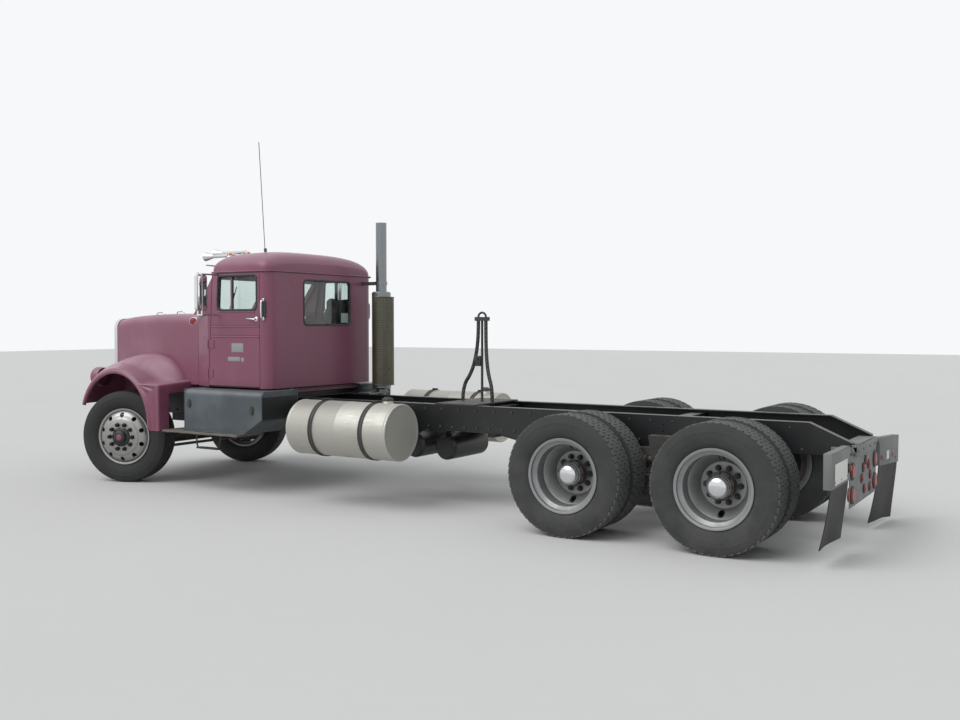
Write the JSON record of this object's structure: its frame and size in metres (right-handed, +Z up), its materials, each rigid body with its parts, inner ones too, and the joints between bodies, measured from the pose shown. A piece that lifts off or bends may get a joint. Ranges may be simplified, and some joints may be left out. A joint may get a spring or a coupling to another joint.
{
  "type": "semi truck tractor unit",
  "caption": "Long-nosed road tractor unit with a short cab, tilting hood, opening doors, steered front wheels and paired rear wheels on an open ladder frame.",
  "frame": {"origin": "middle of the bounding box's footprint, on the ground under the tyres", "axes": "+X to the front of the truck, +Y to the driver's left, +Z up"},
  "size_m": [8.9504, 2.5831, 3.8502],
  "materials": {
    "cab_paint": "weathered satin paint",
    "chassis_black": "dusty black paint",
    "panel_white": "chalky white paint",
    "chassis_iron": "oily cast iron",
    "engine_iron": "painted cast iron",
    "radiator_black": "matte black",
    "shaft_steel": "worn steel",
    "strap_steel": "dull steel",
    "stack_steel": "heat-dulled steel",
    "shield_black": "dark perforated sheet",
    "bright_trim": "polished, slightly pitted",
    "lamp_glass": "clear ribbed lens",
    "red_lens": "red lens",
    "glass": "tinted",
    "dash_plastic": "grained",
    "visor_plastic": "smoked",
    "seat_cloth": "woven",
    "tread_plate": "raised tread pattern, dull",
    "tank_aluminium": "brushed, dull",
    "wheel_aluminium": "polished, dusty",
    "wheel_grey": "grey paint with rust spots",
    "step_wood": "weathered board",
    "tyre": "dusty rubber",
    "flap_rubber": "dusty rubber",
    "hose_rubber": "spiral wrapped"
  },
  "bodies": {
    "chassis": {"frame_rails": "chassis_black", "crossmembers": "chassis_black", "rear_crossmember": "panel_white", "tail_lamps": "red_lens", "front_axle": "chassis_iron", "suspension": "chassis_iron", "drive_axles": "chassis_iron", "driveshafts": "shaft_steel", "engine": "engine_iron", "radiator": "radiator_black", "cab_floor": "cab_paint", "cab_rear_wall": "cab_paint", "cab_front": "cab_paint", "cab_roof": "cab_paint", "cab_glass": "glass", "dashboard": "dash_plastic", "seats": "seat_cloth", "step_boxes": "tread_plate", "step_boards": "step_wood", "fuel_tanks": "tank_aluminium", "tank_straps": "strap_steel", "air_tanks": "chassis_black", "exhaust_stack": "stack_steel", "stack_shield": "shield_black", "hose_stand": "strap_steel", "mudflap_hangers": "chassis_black", "mudflaps": "flap_rubber", "air_horns": "bright_trim", "sun_visor": "visor_plastic", "antenna": "shaft_steel", "hose_bundle_rear": "hose_rubber", "hose_bundle_front": "hose_rubber"},
    "hood": {"hood": "cab_paint", "fenders": "cab_paint", "grille_surround": "bright_trim", "grille_bars": "bright_trim", "headlamps": "lamp_glass"},
    "door_left": {"door_left": "cab_paint", "door_glass_left": "glass", "mirror_left": "bright_trim"},
    "door_right": {"door_right": "cab_paint", "door_glass_right": "glass", "mirror_right": "bright_trim"},
    "steering_wheel": {"steering_wheel": "dash_plastic"},
    "knuckle_left": {"knuckle_left": "chassis_iron"},
    "knuckle_right": {"knuckle_right": "chassis_iron"},
    "tie_rod": {"tie_rod": "chassis_iron"},
    "front_wheel_left": {"front_wheel_left": "wheel_aluminium", "front_tyre_left": "tyre"},
    "front_wheel_right": {"front_wheel_right": "wheel_aluminium", "front_tyre_right": "tyre"},
    "drive1_wheels_left": {"drive1_wheels_left": "wheel_grey", "drive1_tyres_left": "tyre"},
    "drive1_wheels_right": {"drive1_wheels_right": "wheel_grey", "drive1_tyres_right": "tyre"},
    "drive2_wheels_left": {"drive2_wheels_left": "wheel_grey", "drive2_tyres_left": "tyre"},
    "drive2_wheels_right": {"drive2_wheels_right": "wheel_grey", "drive2_tyres_right": "tyre"}
  },
  "joints": [
    {"name": "hood_tilt", "type": "hinge", "parent": "chassis", "child": "hood", "pos_m": [4.32, 0, 0.815], "axis": [0, 1, 0], "range_deg": [0, 75]},
    {"name": "door_left_hinge", "type": "hinge", "parent": "chassis", "child": "door_left", "pos_m": [2.365, 0.904, 1.45], "axis": [0, 0, -1], "range_deg": [0, 70]},
    {"name": "door_right_hinge", "type": "hinge", "parent": "chassis", "child": "door_right", "pos_m": [2.365, -0.904, 1.45], "axis": [0, 0, 1], "range_deg": [0, 70]},
    {"name": "kingpin_left", "type": "hinge", "parent": "chassis", "child": "knuckle_left", "pos_m": [3.617, 0.868, 0.53], "axis": [0, 0, 1], "range_deg": [-54.5, 15.5]},
    {"name": "kingpin_right", "type": "hinge", "parent": "chassis", "child": "knuckle_right", "pos_m": [3.617, -0.868, 0.53], "axis": [0, 0, 1], "range_deg": [-54.5, 15.5]},
    {"name": "tie_rod_pivot", "type": "hinge", "parent": "knuckle_left", "child": "tie_rod", "pos_m": [3.4379, 0.80458, 0.372], "axis": [0, 0, 1], "range_deg": [-15.5, 54.5]},
    {"name": "steering_wheel_turn", "type": "hinge", "parent": "chassis", "child": "steering_wheel", "pos_m": [2.216, 0.47, 1.79], "axis": [-0.6691, 0, 0.7431], "range_deg": [-981, 279]},
    {"name": "front_wheel_left_spin", "type": "hinge", "parent": "knuckle_left", "child": "front_wheel_left", "pos_m": [3.56893, 1.00374, 0.53], "axis": [-0.3338, 0.9426, 0], "continuous": true},
    {"name": "front_wheel_right_spin", "type": "hinge", "parent": "knuckle_right", "child": "front_wheel_right", "pos_m": [3.66507, -1.00374, 0.53], "axis": [-0.3338, 0.9426, 0], "continuous": true},
    {"name": "drive1_wheels_left_spin", "type": "hinge", "parent": "chassis", "child": "drive1_wheels_left", "pos_m": [-2.1845, 0.904, 0.53], "axis": [0, 1, 0], "continuous": true},
    {"name": "drive1_wheels_right_spin", "type": "hinge", "parent": "chassis", "child": "drive1_wheels_right", "pos_m": [-2.1845, -0.904, 0.53], "axis": [0, 1, 0], "continuous": true},
    {"name": "drive2_wheels_left_spin", "type": "hinge", "parent": "chassis", "child": "drive2_wheels_left", "pos_m": [-3.5055, 0.904, 0.53], "axis": [0, 1, 0], "continuous": true},
    {"name": "drive2_wheels_right_spin", "type": "hinge", "parent": "chassis", "child": "drive2_wheels_right", "pos_m": [-3.5055, -0.904, 0.53], "axis": [0, 1, 0], "continuous": true}
  ],
  "couplings": [
    {"joint": "kingpin_right", "follows": "kingpin_left", "ratio": 1},
    {"joint": "tie_rod_pivot", "follows": "kingpin_left", "ratio": -1},
    {"joint": "steering_wheel_turn", "follows": "kingpin_left", "ratio": 18}
  ]
}
